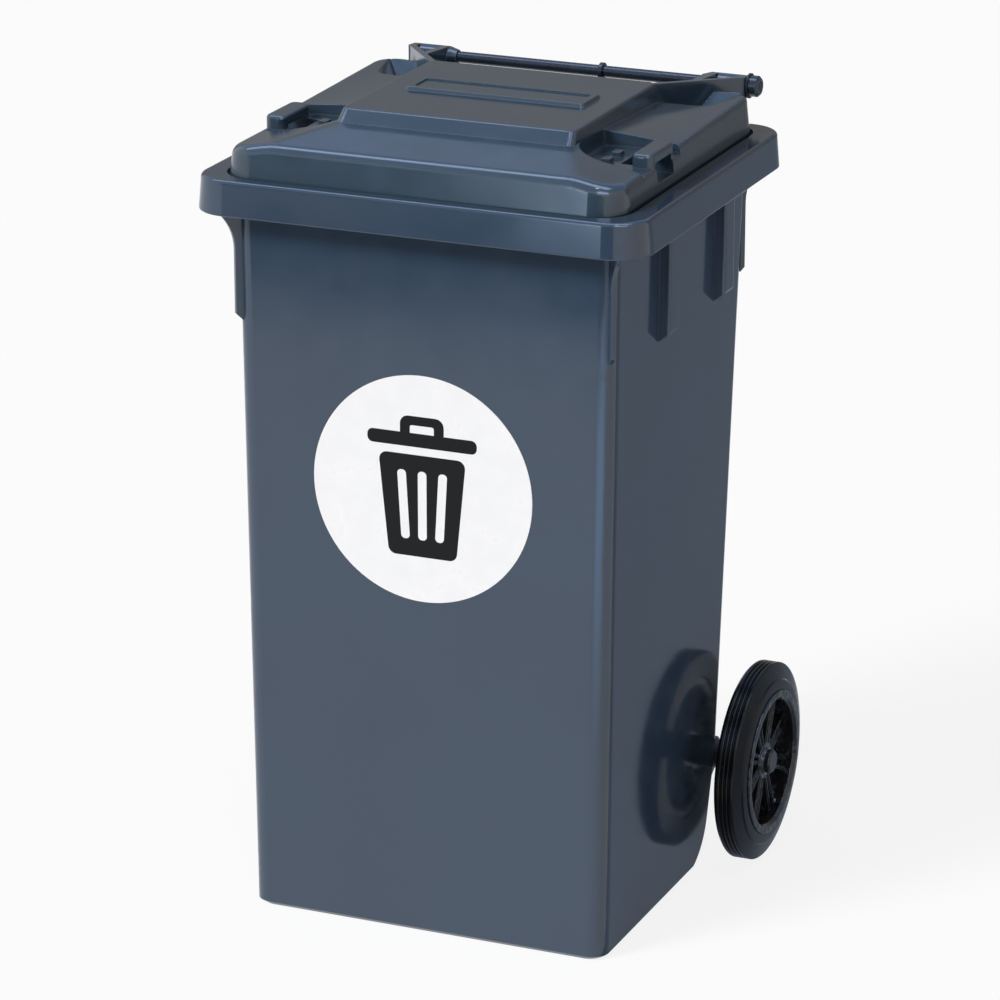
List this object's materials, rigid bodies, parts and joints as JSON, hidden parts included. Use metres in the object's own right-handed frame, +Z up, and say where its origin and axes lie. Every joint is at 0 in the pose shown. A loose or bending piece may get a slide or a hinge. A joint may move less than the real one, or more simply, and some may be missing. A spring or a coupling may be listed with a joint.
{
  "type": "dust cart",
  "caption": "Two-wheeled refuse bin: tapered tub with a deep rim, a hinged stepped lid with finger grips, a pull rod behind, and spoked wheels on an axle.",
  "frame": {"origin": "on the ground under the middle of the overall box", "axes": "+X to the right as seen from the front, +Y from the front to the rear, +Z up; the front with the round sticker faces -Y"},
  "size_m": [0.5152, 0.4689, 0.838],
  "materials": {
    "tub_plastic": "satin",
    "lid_plastic": "satin",
    "label": "satin",
    "steel": "satin",
    "dark_washer": "satin",
    "head_plastic": "gloss",
    "grip_plastic": "satin",
    "tyre_rubber": "matte",
    "hub_plastic": "gloss",
    "bush_plastic": "matte",
    "spacer_plastic": "matte",
    "cap_plastic": "gloss"
  },
  "bodies": {
    "bin": {"tub": "tub_plastic", "label_disc": "label", "axle": "steel", "hinge_rod": "steel", "hinge_push_nut": "steel", "hinge_washer": "dark_washer", "hinge_rod_head": "head_plastic", "grip_sleeve": "grip_plastic", "sleeve_clip_ring": "grip_plastic", "spacer_sleeve_left": "spacer_plastic", "axle_washer_left": "steel", "axle_cap_left": "cap_plastic", "spacer_sleeve_right": "spacer_plastic", "axle_washer_right": "steel", "axle_cap_right": "cap_plastic"},
    "lid_body": {"lid": "lid_plastic"},
    "wheel_left": {"tyre_left": "tyre_rubber", "wheel_hub_left": "hub_plastic", "hub_bush_left": "bush_plastic"},
    "wheel_right": {"tyre_right": "tyre_rubber", "wheel_hub_right": "hub_plastic", "hub_bush_right": "bush_plastic"}
  },
  "joints": [
    {"name": "lid_hinge", "type": "hinge", "parent": "bin", "child": "lid_body", "pos_m": [0, 0.2045, 0.8145], "axis": [-1, 0, 0], "range_deg": [0, 262]},
    {"name": "wheel_left_spin", "type": "hinge", "parent": "bin", "child": "wheel_left", "pos_m": [-0.2426, 0.129, 0.1055], "axis": [1, 0, 0], "continuous": true},
    {"name": "wheel_right_spin", "type": "hinge", "parent": "bin", "child": "wheel_right", "pos_m": [0.2426, 0.129, 0.1055], "axis": [1, 0, 0], "continuous": true}
  ]
}
